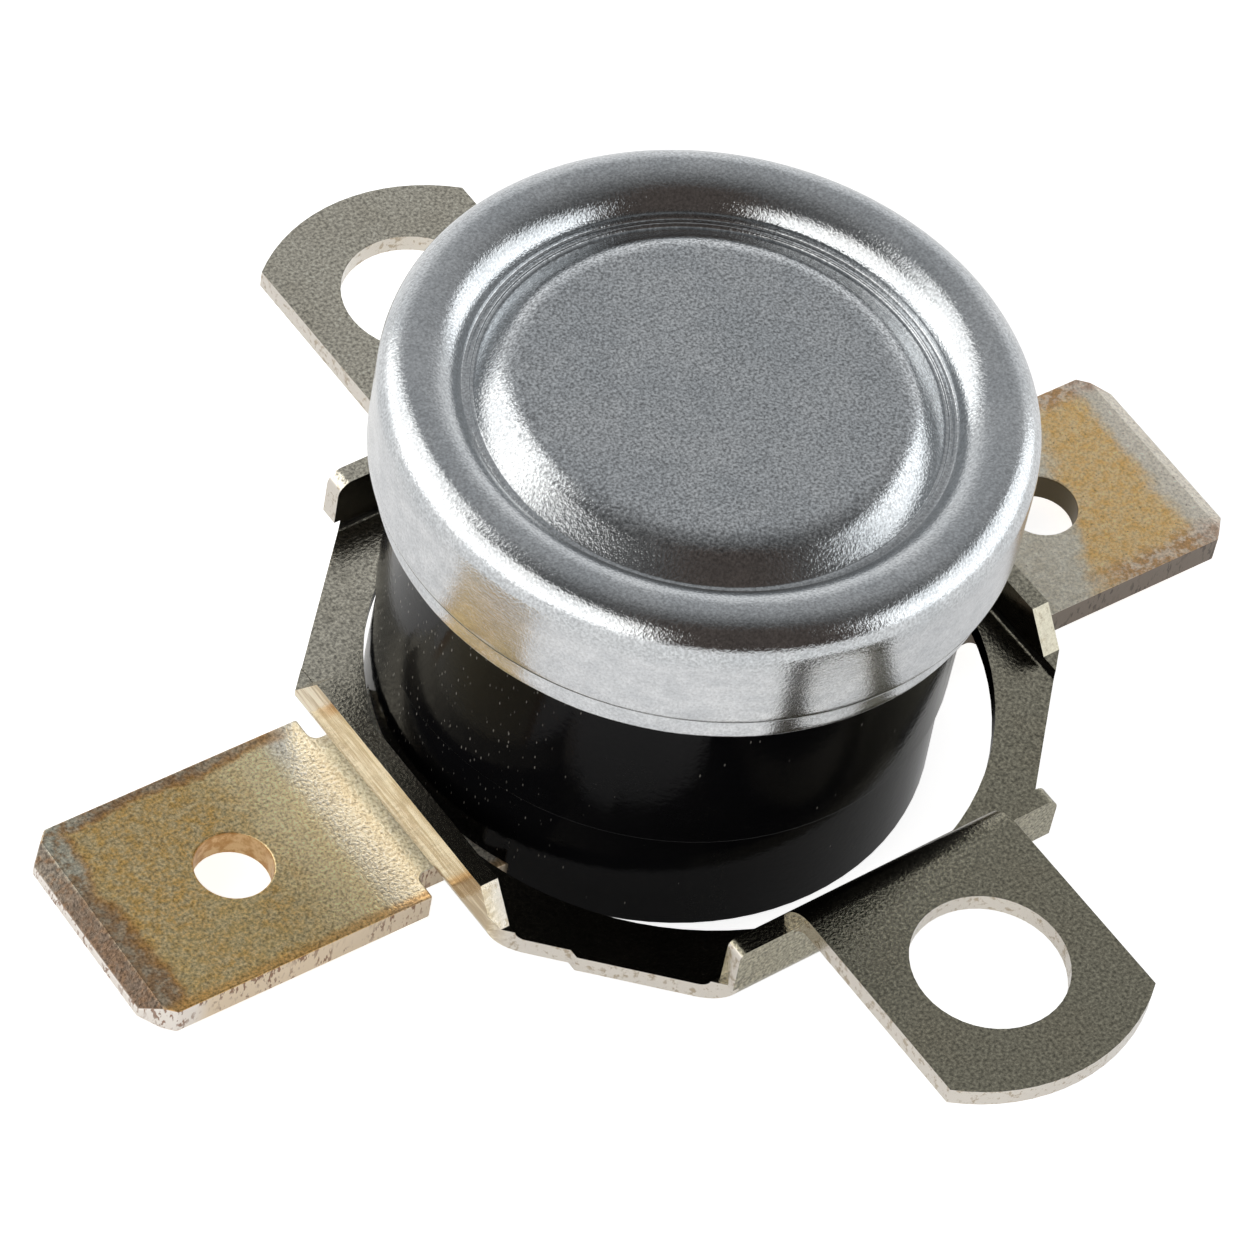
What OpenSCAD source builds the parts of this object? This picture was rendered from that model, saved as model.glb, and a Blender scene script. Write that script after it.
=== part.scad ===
// Snap-disc thermostat with flat tab terminals and a loose two-ear mounting bracket.
// The base of the moulded housing stands on z = 0 and the sensing cap points up.

/* [Cap] */
// Outer radius of the cap's skirt
cap_r = 7.9; // [7.88:0.02:8.3]
// Thickness of the cap's drawn sheet
cap_sheet = 0.4; // [0.3:0.05:0.5]
// Height of the bead's crest above the base
crest_z = 12.37; // [12.25:0.01:13]
// Depth of the groove below the bead's crest
groove_depth = 0.87; // [0.8:0.01:0.9]
// Depth of the sensing face below the bead's crest
face_drop = 0.2; // [0.1:0.01:0.3]
// Radius of the shoulder between the skirt and the bead
shoulder_r = 0.88; // [0.8:0.02:1]
// Radius of the bead's inner rounding
bead_round = 1.24; // [1.1:0.01:1.35]
// Radius of the groove's outer wall
groove_outer_r = 5.93; // [5.85:0.01:6.1]
// Radius of the flat sensing face
face_r = 4.42; // [4.3:0.01:4.5]
// Radius of the rounding round the sensing face
face_round = 0.6; // [0.55:0.01:0.7]
// Tilt of the conical flank that falls from the sensing face to the groove, in degrees
flank_tilt = 40; // [37:0.5:43]
// Height of the cap from its crimped lip to the bead's crest
cap_h = 3.85; // [3.8:0.01:4.2]
// Height of the crimped collar above the lip's lower edge
crimp_h = 1.23; // [1:0.01:1.25]
// How far the lip is crimped inwards
crimp_in = 0.34; // [0.3:0.02:0.36]

/* [Housing] */
// Radius of the housing's waist, just below its step
waist_r = 7; // [6.7:0.01:7.02]
// Radius of the housing at its foot
foot_r = 7.08; // [6.8:0.01:7.1]
// Height of the small step in the housing's wall
step_z = 3.8; // [3:0.05:5]
// Height and width of the bevel at the foot
foot_bevel = 0.6; // [0.3:0.05:0.8]
// Thickness of the housing's floor
floor_t = 2.6; // [2:0.05:3.2]
// Radius of the switch chamber inside the housing
chamber_r = 5.9; // [5.7:0.05:6.1]
// Running gap between the cap and the pieces inside it
cap_gap = 0.05; // [0.02:0.01:0.1]

/* [Snap disc and pin] */
// Radius of the bimetal disc
disc_r = 6.2; // [5.9:0.05:6.6]
// Thickness of the bimetal disc
disc_t = 0.25; // [0.15:0.01:0.3]
// Height of the disc's dome
disc_dome = 0.25; // [0.15:0.01:0.3]
// Free height of the disc under the groove
disc_play = 0.05; // [0.03:0.01:0.1]
// Thickness of the guide plate under the disc
guide_t = 0.5; // [0.4:0.05:0.55]
// Depth of the dish in which the disc snaps
dish_depth = 0.36; // [0.32:0.01:0.4]
// Radius of the dish
dish_r = 5.6; // [5:0.05:5.7]
// Radius of the push pin
pin_r = 0.6; // [0.5:0.05:0.7]
// Radial running gap of the push pin
pin_gap = 0.05; // [0.03:0.01:0.08]
// Gap at both ends of the push pin
pin_play = 0.05; // [0.03:0.01:0.1]
// Length of the guide plate's boss for the pin
boss_len = 1.4; // [0.8:0.1:2]
// Wall of the guide plate's boss
boss_wall = 0.8; // [0.5:0.05:1]

/* [Contacts] */
// Height of the seat of the contact arm
arm_z = 5; // [4.6:0.05:5.4]
// Thickness of the spring contact arm
arm_t = 0.25; // [0.15:0.01:0.35]
// Width of the contact arm and of the fixed strip
arm_w = 3; // [2.4:0.1:3.4]
// Distance of the contacts from the axis
contact_x = 2.2; // [2:0.05:2.3]
// Radius of both contact buttons
contact_r = 0.8; // [0.6:0.05:0.9]
// Height of each contact button
contact_h = 0.5; // [0.4:0.05:0.6]
// Gap left between the closed contacts
contact_gap = 0.02; // [0.01:0.01:0.05]
// Thickness of the fixed contact strip
strip_t = 0.4; // [0.3:0.05:0.6]
// Distance from the axis to the inner side of the two seats
seat_x = 3.25; // [3.2:0.05:3.4]

/* [Terminals and rivets] */
// Overall span over both terminals
terminal_span = 32.6; // [30:0.1:36]
// Width of the terminal blades
terminal_w = 6.16; // [5.6:0.02:6.3]
// Thickness of the terminals
terminal_t = 0.8; // [0.7:0.05:0.9]
// Height of the terminals above the base
terminal_z = 0.4; // [0.35:0.05:0.6]
// Corner bevel of the blades
blade_corner = 0.7; // [0.4:0.05:1]
// Length of the lead-in bevel on the blade's edge
lead_in = 0.45; // [0.3:0.05:0.7]
// Depth of the lead-in bevel on each face
lead_in_drop = 0.25; // [0.1:0.05:0.3]
// Distance of the blade hole from the axis
blade_hole_x = 12.16; // [11.5:0.02:12.6]
// Radius of the blade hole
blade_hole_r = 0.97; // [0.7:0.01:1.1]
// Distance from the axis to the blade's shoulder
shoulder_x = 8.45; // [8.2:0.05:9]
// Width of the neck between the blade and the root
neck_w = 4.7; // [4:0.1:5.2]
// Distance from the axis to the root's outer side
root_x = 6.85; // [6.5:0.05:7]
// Radius of the notch corners
notch_round = 0.25; // [0.1:0.05:0.3]
// Distance of the rivets from the axis
rivet_x = 4.5; // [4.4:0.05:4.6]
// Radius of the rivet shank
rivet_r = 0.8; // [0.6:0.05:0.9]
// Radius of both rivet heads
rivet_head_r = 1.3; // [1.1:0.05:1.35]
// Height of both rivet heads
rivet_head_h = 0.38; // [0.25:0.01:0.4]
// Radial clearance of the rivets and gap beside the terminals
fit_gap = 0.03; // [0.02:0.01:0.06]

/* [Bracket] */
// Thickness of the bracket's sheet
bracket_t = 0.5; // [0.4:0.05:0.6]
// Radius of the bracket's hole round the housing
ring_hole_r = 7.85; // [7.84:0.01:7.88]
// Gap between the bracket's ring and the terminals
ring_gap = 0.1; // [0.05:0.05:0.3]
// Distance from the ring's centre to the diagonal edges beside the square ends of the wings
ring_diagonal = 9.25; // [9.1:0.05:9.6]
// Distance from the ring's centre to the diagonal edges beside the rounded ends of the wings
ring_diagonal_near = 9.08; // [9:0.02:9.4]
// Distance from the ring's centre to the outside of the plain walls
side_wall = 8.72; // [8.7:0.02:9.4]
// Distance from the ring's centre to the outside of the ear walls
ear_wall = 8.6; // [8.58:0.02:9.4]
// Height of the plain walls above the ring's underside
side_wall_h = 1.75; // [1.4:0.05:2.4]
// Height of the ear walls' wings above the ring's underside
wing_h = 2.1; // [1.6:0.05:2.2]
// Height of the ears' top face above the ring's underside
ear_h = 2.78; // [2.7:0.02:3.4]
// Inner radius of the bends at the ring
bend_r = 0.2; // [0.15:0.01:0.22]
// Inner radius of the bend at the root of the ears
ear_bend_r = 0.45; // [0.2:0.05:0.6]
// Width of the ears
ear_w = 6.16; // [5.6:0.02:7]
// Distance between the two ear holes
hole_pitch = 24.1; // [23.5:0.1:25]
// Radius of the ear holes
ear_hole_r = 1.94; // [1.5:0.02:2.1]
// Distance from the ring's centre to the tip of the ears
ear_tip = 15.63; // [15:0.05:16.5]
// Radius of the arc at the tip of the ears
ear_arc_r = 4.84; // [4:0.02:6]
// Length of the plain walls at their top edge
side_wall_top = 7; // [5:0.1:7.2]
// How far the plain walls' top edge lies off the middle
side_wall_shift = 0.15; // [0:0.05:0.3]
// Length of the ear walls over both wings
wing_len = 9.6; // [8.4:0.1:9.7]
// How far the wings lie off the middle
wing_shift = 0.12; // [0:0.02:0.2]
// Rounding of the upper corner at the wings' rounded end
wing_round = 0.4; // [0.2:0.05:0.8]
// Rounding of the upper corner at the wings' square end
wing_corner = 0.2; // [0.1:0.05:0.2]
// Height of the trim step in one diagonal edge
trim_step = 0.18; // [0.05:0.01:0.3]
// Distance of the trim step from the ring's centre, across the terminals
trim_at = 7.25; // [6:0.05:7.8]
// Where the bracket's centre lies across the terminals
bracket_x = 0.4; // [0.1:0.02:0.4]
// Where the bracket's centre lies across the ears
bracket_y = -0.6; // [-0.6:0.02:-0.2]
// How far the bracket is turned on the housing, in degrees
bracket_turn = 1.2; // [-10:0.1:10]

/* [Hidden] */
$fn = 96;

// Length by which a cut passes the face that it starts from
over = 1;
// Heights of the cap and of what it holds, from the groove down
groove_z = crest_z - groove_depth;
face_z = crest_z - face_drop;
lip_z = crest_z - cap_h;
crimp_z = lip_z + crimp_h;
// Inner edge of the groove's underside, the disc's curvature, and how high its dome rises there
groove_edge_r = flank_r(cap_sheet, groove_z - cap_sheet);
dome_r = (disc_r * disc_r + disc_dome * disc_dome) / (2 * disc_dome);
dome_rise = max(0, disc_dome - dome_r + sqrt(dome_r * dome_r - groove_edge_r * groove_edge_r));
disc_top_z = groove_z - cap_sheet - disc_play - dome_rise;
seat_z = disc_top_z - disc_t;
dish_z = seat_z - dish_depth;
rim_z = dish_z - guide_t;
inner_r = cap_r - cap_sheet - cap_gap;
lip_r = cap_r - crimp_in;
collar_r = lip_r - cap_sheet - cap_gap;
// Heights of the switch
arm_top_z = arm_z + arm_t;
strip_z = arm_top_z + 2 * contact_h + contact_gap;
pin_low_z = arm_top_z + pin_play;
pin_top_z = seat_z + disc_dome - pin_play;
// Heights of the terminals and of the bracket
terminal_top_z = terminal_z + terminal_t;
ring_z = terminal_top_z + ring_gap;
slot_w = terminal_w + 2 * fit_gap;
slot_x = rivet_x - rivet_head_r - fit_gap;
root_in_x = rivet_x - rivet_head_r;
// Where the bracket's diagonal edges would meet its axes, and the height of its bends
diagonal_cut = ring_diagonal * sqrt(2);
near_cut = ring_diagonal_near * sqrt(2);
fold_h = bracket_t + bend_r;

// Radius at which the rounding of the sensing face, drawn inwards, turns into the flank, and its height
function flank_top_r(inset) = face_r + (face_round - inset) * sin(flank_tilt);
function flank_top_z(inset) = face_z - face_round + (face_round - inset) * cos(flank_tilt);
// Radius of the flank, drawn inwards, at a height
function flank_r(inset, z) = flank_top_r(inset) + (flank_top_z(inset) - z) / tan(flank_tilt);

// Square from one corner to the opposite one
module rect(x0, z0, x1, z1) {
    translate([x0, z0])
        square([x1 - x0, z1 - z0]);
}

// Part of a plane shape that lies in one quarter of the plane round a centre
module quarter(centre, size, sign_x, sign_y) {
    intersection() {
        children();
        translate([centre[0] + (sign_x < 0 ? -size : 0), centre[1] + (sign_y < 0 ? -size : 0)])
            square(size);
    }
}

// Outline of the cap drawn inwards by a distance, from the axis out to the skirt
module cap_section(inset) {
    top = crest_z - inset;
    shoulder = shoulder_r - inset;
    bead = bead_round - inset;
    crest_x = cap_r - shoulder_r;
    wall = groove_outer_r + inset;
    low = groove_z - inset - cap_sheet;
    difference() {
        union() {
            rect(0, lip_z - over * (inset > 0 ? 1 : 0), lip_r - inset, crimp_z);
            polygon([[lip_r - inset - crimp_in, lip_z], [lip_r - inset, lip_z],
                     [cap_r - inset, crimp_z], [lip_r - inset - crimp_in, crimp_z]]);
            rect(0, crimp_z, cap_r - inset, crest_z - shoulder_r);
            rect(0, crimp_z, crest_x, top);
            translate([crest_x, crest_z - shoulder_r])
                circle(shoulder);
        }
        // Everything above the groove between the bead and the sensing face
        difference() {
            rect(face_r, groove_z - inset, crest_x, top + over);
            // Rounded inner side of the bead, down to the groove's wall
            intersection() {
                translate([crest_x, crest_z - bead_round])
                    circle(bead);
                rect(wall, 0, crest_x, crest_z);
            }
            // Rounded edge of the sensing face and the flank below it
            translate([face_r, face_z - face_round])
                circle(face_round - inset);
            polygon([[face_r, low], [face_r, face_z - face_round], [flank_top_r(inset), flank_top_z(inset)],
                     [flank_r(inset, low), low]]);
        }
        // Everything above the sensing face
        rect(-over, face_z - inset, face_r + over / 4, top + over);
    }
}

// Drawn cap, crimped under the housing's flange
module sensing_cap() {
    color("silver")
        rotate_extrude()
            intersection() {
                difference() {
                    cap_section(0);
                    cap_section(cap_sheet);
                }
                rect(0, lip_z, cap_r, crest_z);
            }
}

// Outer outline of the housing from the foot to the rim
module housing_section() {
    polygon([[0, 0], [foot_r - foot_bevel, 0], [foot_r, foot_bevel], [waist_r, step_z],
             [collar_r, step_z], [collar_r, lip_z], [inner_r - crimp_in, lip_z],
             [inner_r, crimp_z], [inner_r, rim_z], [0, rim_z]]);
}

// Seat block inside the chamber that carries the arm or the strip
module seat_block(side, top) {
    intersection() {
        translate([side > 0 ? seat_x : -inner_r, -arm_w / 2, floor_t])
            cube([inner_r - seat_x, arm_w, top - floor_t]);
        cylinder(r = (chamber_r + collar_r) / 2, h = top);
    }
}

// Moulded cup with a slot for each terminal under its floor
module housing() {
    color("#1c1c1e")
        difference() {
            union() {
                difference() {
                    rotate_extrude()
                        housing_section();
                    translate([0, 0, floor_t])
                        cylinder(r = chamber_r, h = rim_z);
                }
                seat_block(-1, arm_z);
                seat_block(1, strip_z);
            }
            for (side = [-1, 1]) {
                translate([side > 0 ? slot_x : -slot_x - cap_r, -slot_w / 2, -over])
                    cube([cap_r, slot_w, terminal_top_z + over]);
                translate([side * rivet_x, 0, 0])
                    cylinder(r = rivet_r + fit_gap, h = crest_z);
            }
        }
}

// Domed bimetal disc resting on the rim of the guide plate
module bimetal_disc() {
    color("#b9a27c")
        rotate_extrude()
            intersection() {
                difference() {
                    translate([0, seat_z + disc_dome + disc_t - dome_r])
                        circle(dome_r);
                    translate([0, seat_z + disc_dome - dome_r])
                        circle(dome_r);
                }
                rect(0, seat_z, disc_r, disc_top_z + disc_dome + over);
            }
}

// Insulating plate with the dish for the disc and the boss that guides the pin
module guide_plate() {
    boss_r = pin_r + pin_gap + boss_wall;
    color("#6b4a32")
        difference() {
            union() {
                translate([0, 0, rim_z])
                    cylinder(r = inner_r, h = seat_z - rim_z);
                translate([0, 0, rim_z - boss_len])
                    cylinder(r = boss_r, h = boss_len + guide_t);
            }
            translate([0, 0, dish_z])
                cylinder(r = dish_r, h = seat_z);
            translate([0, 0, rim_z - boss_len - over])
                cylinder(r = pin_r + pin_gap, h = seat_z);
        }
}

// Ceramic pin with a domed foot that carries the disc's snap to the contact arm
module push_pin() {
    color("ivory")
        rotate_extrude() {
            rect(0, pin_low_z + pin_r, pin_r, pin_top_z);
            quarter([0, pin_low_z + pin_r], pin_r, 1, -1)
                translate([0, pin_low_z + pin_r])
                    circle(pin_r);
        }
}

// Flat spring arm clamped at its root by the left rivet
module contact_arm() {
    root_x0 = sqrt(chamber_r * chamber_r - arm_w * arm_w / 4) - fit_gap;
    color("#c08a4a")
        difference() {
            translate([-root_x0, -arm_w / 2, arm_z])
                cube([root_x0 + contact_x + contact_r, arm_w, arm_t]);
            translate([-rivet_x, 0, 0])
                cylinder(r = rivet_r + fit_gap, h = crest_z);
        }
}

// Contact button on the free end of the arm
module moving_contact() {
    color("gainsboro")
        translate([contact_x, 0, arm_top_z])
            cylinder(r = contact_r, h = contact_h);
}

// Rigid strip above the arm's free end, clamped by the right rivet
module contact_strip() {
    root_x0 = sqrt(chamber_r * chamber_r - arm_w * arm_w / 4) - fit_gap;
    color("#b08d57")
        difference() {
            translate([contact_x - contact_r, -arm_w / 2, strip_z])
                cube([root_x0 - contact_x + contact_r, arm_w, strip_t]);
            translate([rivet_x, 0, 0])
                cylinder(r = rivet_r + fit_gap, h = crest_z);
        }
}

// Contact button under the strip
module fixed_contact() {
    color("gainsboro")
        translate([contact_x, 0, strip_z - contact_h])
            cylinder(r = contact_r, h = contact_h);
}

// Outline of one terminal, pointing along +X
module terminal_plan() {
    tip = terminal_span / 2;
    half = terminal_w / 2;
    neck = neck_w / 2;
    difference() {
        polygon([[root_in_x, -half], [tip - blade_corner, -half], [tip, -half + blade_corner],
                 [tip, half - blade_corner], [tip - blade_corner, half], [root_in_x, half]]);
        for (side = [-1, 1]) {
            for (corner = [root_x + notch_round, shoulder_x - notch_round])
                translate([corner, side * (neck + notch_round)])
                    circle(notch_round);
            translate([(root_x + shoulder_x) / 2, side * (neck + over / 2)])
                square([shoulder_x - root_x - 2 * notch_round, over], center = true);
            translate([(root_x + shoulder_x) / 2, side * (neck + notch_round + over / 2)])
                square([shoulder_x - root_x, over], center = true);
        }
        translate([blade_hole_x, 0])
            circle(blade_hole_r);
        translate([rivet_x, 0])
            circle(rivet_r + fit_gap);
    }
}

// One flat tab with its notched neck, blade hole and bevelled lead-in edge
module terminal() {
    tip = terminal_span / 2;
    intersection() {
        translate([0, 0, terminal_z])
            linear_extrude(terminal_t)
                terminal_plan();
        translate([0, terminal_w / 2, 0])
            rotate([90, 0, 0])
                linear_extrude(terminal_w)
                    polygon([[root_in_x, terminal_z], [tip - lead_in, terminal_z],
                             [tip, terminal_z + lead_in_drop],
                             [tip, terminal_top_z - lead_in_drop],
                             [tip - lead_in, terminal_top_z], [root_in_x, terminal_top_z]]);
    }
}

// Tab on the left, along -X
module terminal_left() {
    color("#b09a5e")
        rotate([0, 0, 180])
            terminal();
}

// Tab on the right, along +X
module terminal_right() {
    color("#b5a06a")
        terminal();
}

// Rivet from under the terminal, through the floor, to the top of the clamped strip
module rivet(top) {
    rotate_extrude() {
        rect(0, terminal_z - rivet_head_h, rivet_head_r, terminal_z);
        rect(0, terminal_z - rivet_head_h, rivet_r, top + rivet_head_h);
        rect(0, top, rivet_head_r, top + rivet_head_h);
    }
}

// Rivet that clamps the contact arm
module rivet_left() {
    color("#a9a49a")
        translate([-rivet_x, 0, 0])
            rivet(arm_top_z);
}

// Rivet that clamps the fixed strip
module rivet_right() {
    color("#a9a49a")
        translate([rivet_x, 0, 0])
            rivet(strip_z + strip_t);
}

// Quarter of a bend between two sheet stretches, round a centre
module bend(centre, radius, sign_x, sign_y) {
    quarter(centre, radius + bracket_t, sign_x, sign_y)
        translate(centre)
            difference() {
                circle(radius + bracket_t);
                circle(radius);
            }
}

// Extrudes a section that is drawn in the X-Z plane evenly to both sides of that plane
module across(width) {
    translate([0, width / 2, 0])
        rotate([90, 0, 0])
            linear_extrude(width)
                children();
}

// Raises an outline that is drawn in the Y-Z plane into a sheet whose outside lies at a distance
module upright(face) {
    translate([face - bracket_t, 0, 0])
        rotate([90, 0, 90])
            linear_extrude(bracket_t)
                children();
}

// Folds the ring's edge up along +X, with ends that follow the diagonal edges on the left and the right
module fold(face, left, right) {
    centre = [face - bracket_t - bend_r, fold_h];
    intersection() {
        across(2 * max(left, right))
            union() {
                rect(centre[0] - over, 0, centre[0], bracket_t);
                bend(centre, bend_r, 1, -1);
            }
        linear_extrude(fold_h)
            polygon([[0, left], [0, -right], [(left + right) / 2, (left - right) / 2]]);
    }
}

// Plain wall along +X, with ends that slope in towards its top edge
module side_fold() {
    fold(side_wall, diagonal_cut, near_cut);
    upright(side_wall)
        polygon([[side_wall - near_cut, fold_h], [diagonal_cut - side_wall, fold_h],
                 [side_wall_shift + side_wall_top / 2, side_wall_h],
                 [side_wall_shift - side_wall_top / 2, side_wall_h]]);
}

// Section through an ear: upright, outward bend and flat ear
module ear_section() {
    centre = [ear_wall + ear_bend_r, ear_h - bracket_t - ear_bend_r];
    rect(ear_wall - bracket_t, fold_h, ear_wall, centre[1]);
    bend(centre, ear_bend_r, -1, 1);
    rect(centre[0], ear_h - bracket_t, ear_tip, ear_h);
}

// Outline of the two wings, with one rounded end and one square end
module wings() {
    long = wing_len / 2 + wing_shift;
    short = wing_len / 2 - wing_shift;
    rect(-short, fold_h, 0, wing_h - wing_corner);
    rect(-over, fold_h, long, wing_h - wing_round);
    rect(wing_corner - short, fold_h, long - wing_round, wing_h);
    translate([wing_corner - short, wing_h - wing_corner])
        circle(wing_corner);
    translate([long - wing_round, wing_h - wing_round])
        circle(wing_round);
}

// Ear wall along +X: the two wings and the ear folded out between them
module ear_fold() {
    arc_x = ear_tip - ear_arc_r;
    fold(ear_wall, near_cut, diagonal_cut);
    upright(ear_wall)
        wings();
    intersection() {
        across(ear_w)
            ear_section();
        linear_extrude(ear_h) {
            rect(0, -ear_w / 2, arc_x, ear_w / 2);
            translate([arc_x, 0])
                circle(ear_arc_r);
        }
    }
}

// Flat ring's outline
module ring_plan() {
    side = side_wall - bracket_t - bend_r;
    end = ear_wall - bracket_t - bend_r;
    polygon([[side, diagonal_cut - side], [diagonal_cut - end, end], [end - near_cut, end],
             [-side, near_cut - side], [-side, side - diagonal_cut], [end - diagonal_cut, -end],
             [near_cut - end, -end], [side, side - near_cut]]);
}

// Strip that is trimmed off one diagonal edge, from a step to the end of the plain wall
module trimmed_strip() {
    low = diagonal_cut - trim_step * sqrt(2);
    out = diagonal_cut + over;
    reach = side_wall + over;
    translate([0, 0, -over])
        linear_extrude(side_wall_h + 2 * over)
            polygon([[-trim_at, trim_at - low], [-trim_at, trim_at - out],
                     [-reach, reach - out], [-reach, reach - low]]);
}

// Folded sheet bracket, loose round the housing and resting above the terminals
module mounting_bracket() {
    color("#8c8674")
        translate([bracket_x, bracket_y, ring_z])
            rotate([0, 0, bracket_turn])
                difference() {
                    union() {
                        linear_extrude(bracket_t)
                            ring_plan();
                        for (turn = [0, 180]) {
                            rotate([0, 0, turn])
                                side_fold();
                            rotate([0, 0, turn + 90])
                                ear_fold();
                        }
                    }
                    trimmed_strip();
                    translate([0, 0, -over])
                        cylinder(r = ring_hole_r, h = ear_h + 2 * over);
                    for (side = [-1, 1])
                        translate([0, side * hole_pitch / 2, 0])
                            cylinder(r = ear_hole_r, h = ear_h + over);
                }
}

housing();
sensing_cap();
bimetal_disc();
guide_plate();
push_pin();
contact_arm();
moving_contact();
contact_strip();
fixed_contact();
terminal_left();
terminal_right();
rivet_left();
rivet_right();
mounting_bracket();
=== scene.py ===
"""Looks of the bimetal thermostat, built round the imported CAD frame."""
import math

import bmesh
import bpy
from mathutils import Matrix, Vector


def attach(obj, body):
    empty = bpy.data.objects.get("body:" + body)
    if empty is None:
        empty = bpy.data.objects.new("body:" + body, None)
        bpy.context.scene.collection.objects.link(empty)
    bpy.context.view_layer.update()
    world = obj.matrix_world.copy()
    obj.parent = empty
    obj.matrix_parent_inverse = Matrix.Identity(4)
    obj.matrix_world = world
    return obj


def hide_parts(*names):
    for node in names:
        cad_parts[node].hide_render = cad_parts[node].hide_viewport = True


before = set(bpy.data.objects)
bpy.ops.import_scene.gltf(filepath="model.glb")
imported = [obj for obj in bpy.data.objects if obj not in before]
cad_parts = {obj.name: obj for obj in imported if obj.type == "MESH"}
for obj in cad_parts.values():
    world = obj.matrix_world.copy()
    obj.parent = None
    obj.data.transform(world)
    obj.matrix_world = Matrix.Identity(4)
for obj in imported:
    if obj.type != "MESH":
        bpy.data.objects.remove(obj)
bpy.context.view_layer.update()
MM = 0.001

# Camera at the photograph's viewing angle
CAMERA_AT = Vector((-72.375, -75.771, 126.114)) * MM
CAMERA_AZIMUTH = math.radians(-43.229)
CAMERA_ELEVATION = math.radians(49.608)
CAMERA_ROLL = math.radians(11.824)
FOCAL_PIXELS = 6600.9
IMAGE_PIXELS = 1254
SENSOR_MM = 36
CLIP_NEAR = 0.005
CLIP_FAR = 20


def make_camera():
    """Sets the scene's camera from its place, its angles and its focal length."""
    a, e, r = CAMERA_AZIMUTH, CAMERA_ELEVATION, CAMERA_ROLL
    back = Vector((math.sin(a) * math.cos(e), -math.cos(a) * math.cos(e), math.sin(e)))
    level = Vector((math.cos(a), math.sin(a), 0))
    rise = back.cross(level)
    right = level * math.cos(r) + rise * math.sin(r)
    up = rise * math.cos(r) - level * math.sin(r)
    data = bpy.data.cameras.new("camera")
    data.sensor_width = SENSOR_MM
    data.sensor_fit = "HORIZONTAL"
    data.lens = FOCAL_PIXELS * SENSOR_MM / IMAGE_PIXELS
    data.clip_start = CLIP_NEAR
    data.clip_end = CLIP_FAR
    camera = bpy.data.objects.new("camera", data)
    bpy.context.collection.objects.link(camera)
    turn = Matrix((right, up, back)).transposed().to_4x4()
    camera.matrix_world = Matrix.Translation(CAMERA_AT) @ turn
    bpy.context.scene.camera = camera


class Graph:
    """Short calls for building a node tree."""

    def __init__(self, tree):
        self.tree = tree

    def node(self, kind, inputs=None, **settings):
        """Adds a node, sets its settings, and sets or links its inputs."""
        made = self.tree.nodes.new(kind)
        for key, value in settings.items():
            setattr(made, key, value)
        for key, value in (inputs or {}).items():
            self.set(made.inputs[key], value)
        return made

    def set(self, socket, value):
        """Links a socket to another one, or gives it a value."""
        if isinstance(value, bpy.types.NodeSocket):
            self.tree.links.new(value, socket)
        else:
            socket.default_value = value

    def split(self, vector):
        """The three parts of a vector."""
        made = self.node("ShaderNodeSeparateXYZ", {"Vector": vector})
        return made.outputs["X"], made.outputs["Y"], made.outputs["Z"]

    def math(self, operation, a, b=0.0):
        """Arithmetic on one or two numbers."""
        made = self.node("ShaderNodeMath", {0: a, 1: b}, operation=operation)
        return made.outputs[0]

    def add(self, a, b):
        """Sum of two numbers."""
        return self.math("ADD", a, b)

    def minus(self, a, b):
        """Difference of two numbers."""
        return self.math("SUBTRACT", a, b)

    def larger(self, a, b):
        """Larger one of two numbers."""
        return self.math("MAXIMUM", a, b)

    def times(self, *values):
        """Product of several numbers."""
        total = values[0]
        for value in values[1:]:
            total = self.math("MULTIPLY", total, value)
        return total

    def step(self, value, low, high):
        """Smooth step from 0 at low to 1 at high, where low may be the larger one."""
        made = self.node("ShaderNodeMapRange", {"Value": value}, interpolation_type="SMOOTHSTEP")
        if low <= high:
            made.inputs["From Min"].default_value = low
            made.inputs["From Max"].default_value = high
        else:
            made.inputs["From Min"].default_value = high
            made.inputs["From Max"].default_value = low
            made.inputs["To Min"].default_value = 1
            made.inputs["To Max"].default_value = 0
        return made.outputs["Result"]

    def span(self, value, low, high):
        """Straight change of a value from 0..1 to low..high."""
        made = self.node("ShaderNodeMapRange", {"Value": value, "To Min": low, "To Max": high})
        return made.outputs["Result"]

    def noise(self, place, size, detail, rough):
        """Noise round 0.5 whose grains have about the given size in metres."""
        made = self.node("ShaderNodeTexNoise",
                         {"Vector": place, "Scale": 1 / size, "Detail": detail, "Roughness": rough})
        return made.outputs["Fac"]

    def mix(self, share, a, b, blend="MIX"):
        """Mix of two colours."""
        made = self.node("ShaderNodeMix", data_type="RGBA", blend_type=blend)
        self.set(made.inputs[0], share)
        self.set(made.inputs[6], a)
        self.set(made.inputs[7], b)
        return made.outputs[2]

    def stretch(self, place, sizes, turn=(0, 0, 0)):
        """Coordinates that are scaled along each axis and turned."""
        made = self.node("ShaderNodeMapping", {"Vector": place, "Rotation": turn, "Scale": sizes})
        return made.outputs[0]

    def dot(self, a, b):
        """Dot product of two vectors."""
        made = self.node("ShaderNodeVectorMath", {0: a, 1: b}, operation="DOT_PRODUCT")
        return made.outputs["Value"]

    def bump(self, height, depth):
        """Normal of a surface with small relief, depth in metres."""
        made = self.node("ShaderNodeBump", {"Height": height, "Distance": depth, "Strength": 1.0})
        return made.outputs[0]


def rgb(red, green, blue):
    """Colour with full opacity."""
    return (red, green, blue, 1.0)


WHITE = rgb(1, 1, 1)
BLACK = rgb(0, 0, 0)


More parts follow.
